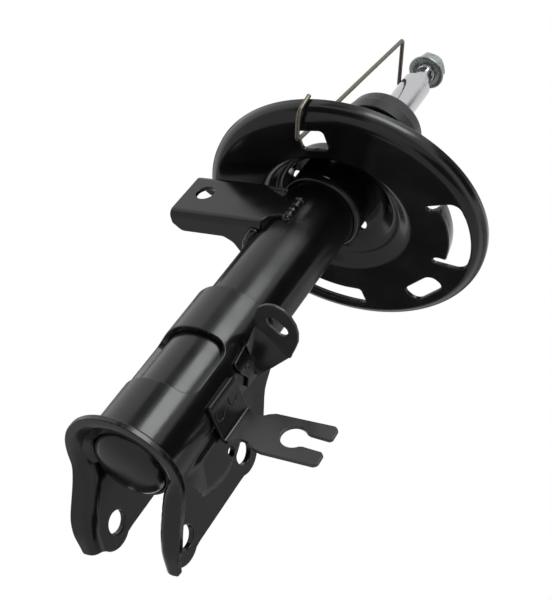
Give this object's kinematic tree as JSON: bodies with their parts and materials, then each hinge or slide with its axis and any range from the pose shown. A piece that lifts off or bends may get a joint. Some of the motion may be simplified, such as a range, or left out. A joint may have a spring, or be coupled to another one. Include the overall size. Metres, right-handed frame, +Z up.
{
  "type": "strut assembly",
  "caption": "MacPherson strut with a bolted knuckle bracket, tilted spring seat, stabilizer, brake hose and sensor brackets, and a sliding piston rod.",
  "frame": {"origin": "centre of the base cap's flat underside, on the strut axis", "axes": "+Z runs up the strut axis to the rod's stud, +X along the knuckle bolts towards the stabilizer link bracket's side, -Y towards the steering knuckle"},
  "size_m": [0.1966, 0.1985, 0.469],
  "materials": {
    "black_paint": "gloss black dip paint",
    "painted_weld": "gloss black paint over a rippled weld bead",
    "bare_steel": "drawn steel",
    "sintered_steel": "matt sintered steel",
    "chromed_steel": "ground and chromed",
    "zinc": "bright zinc plate",
    "bare_wire": "dull drawn wire",
    "bush_bronze": "bronze bush with a dark lining",
    "rubber": "matt black",
    "rubber_cap": "moulded, slightly worn black",
    "piston_band": "filled bearing plastic",
    "stop_plastic": "natural nylon"
  },
  "bodies": {
    "strut_body": {"reservoir_tube": "black_paint", "base_cap": "black_paint", "pressure_tube": "bare_steel", "foot_valve_body": "sintered_steel", "foot_valve_disc": "bare_steel", "foot_valve_rivet": "bare_steel", "rod_guide": "sintered_steel", "guide_bush": "bush_bronze", "oil_seal": "rubber", "bump_cap": "rubber_cap", "knuckle_bracket": "black_paint", "bracket_welds": "painted_weld", "spring_seat": "black_paint", "seat_collar": "black_paint", "seat_welds": "painted_weld", "stabilizer_link_bracket": "black_paint", "link_bracket_welds": "painted_weld", "brake_hose_bracket": "black_paint", "sensor_wire_bracket": "black_paint"},
    "piston_carriage": {"piston_band": "piston_band"},
    "rod": {"piston_rod": "chromed_steel", "piston": "sintered_steel", "compression_shims": "bare_steel", "rebound_shims": "bare_steel", "piston_nut": "zinc", "rebound_stop": "stop_plastic", "stop_ring": "bare_steel", "top_nut": "zinc"},
    "wire": {"retaining_wire": "bare_wire"}
  },
  "joints": [
    {"name": "rod_slide", "type": "slide", "parent": "strut_body", "child": "piston_carriage", "axis": [0, 0, 1], "range_m": [-0.01, 0.15]},
    {"name": "rod_spin", "type": "hinge", "parent": "piston_carriage", "child": "rod", "pos_m": [0, 0, 0.05], "axis": [0, 0, 1], "continuous": true},
    {"name": "wire_swing", "type": "hinge", "parent": "strut_body", "child": "wire", "pos_m": [-0.0075, 0.0629, 0.24], "axis": [-0.9483, -0.3173, 0], "range_deg": [0, 20]}
  ]
}
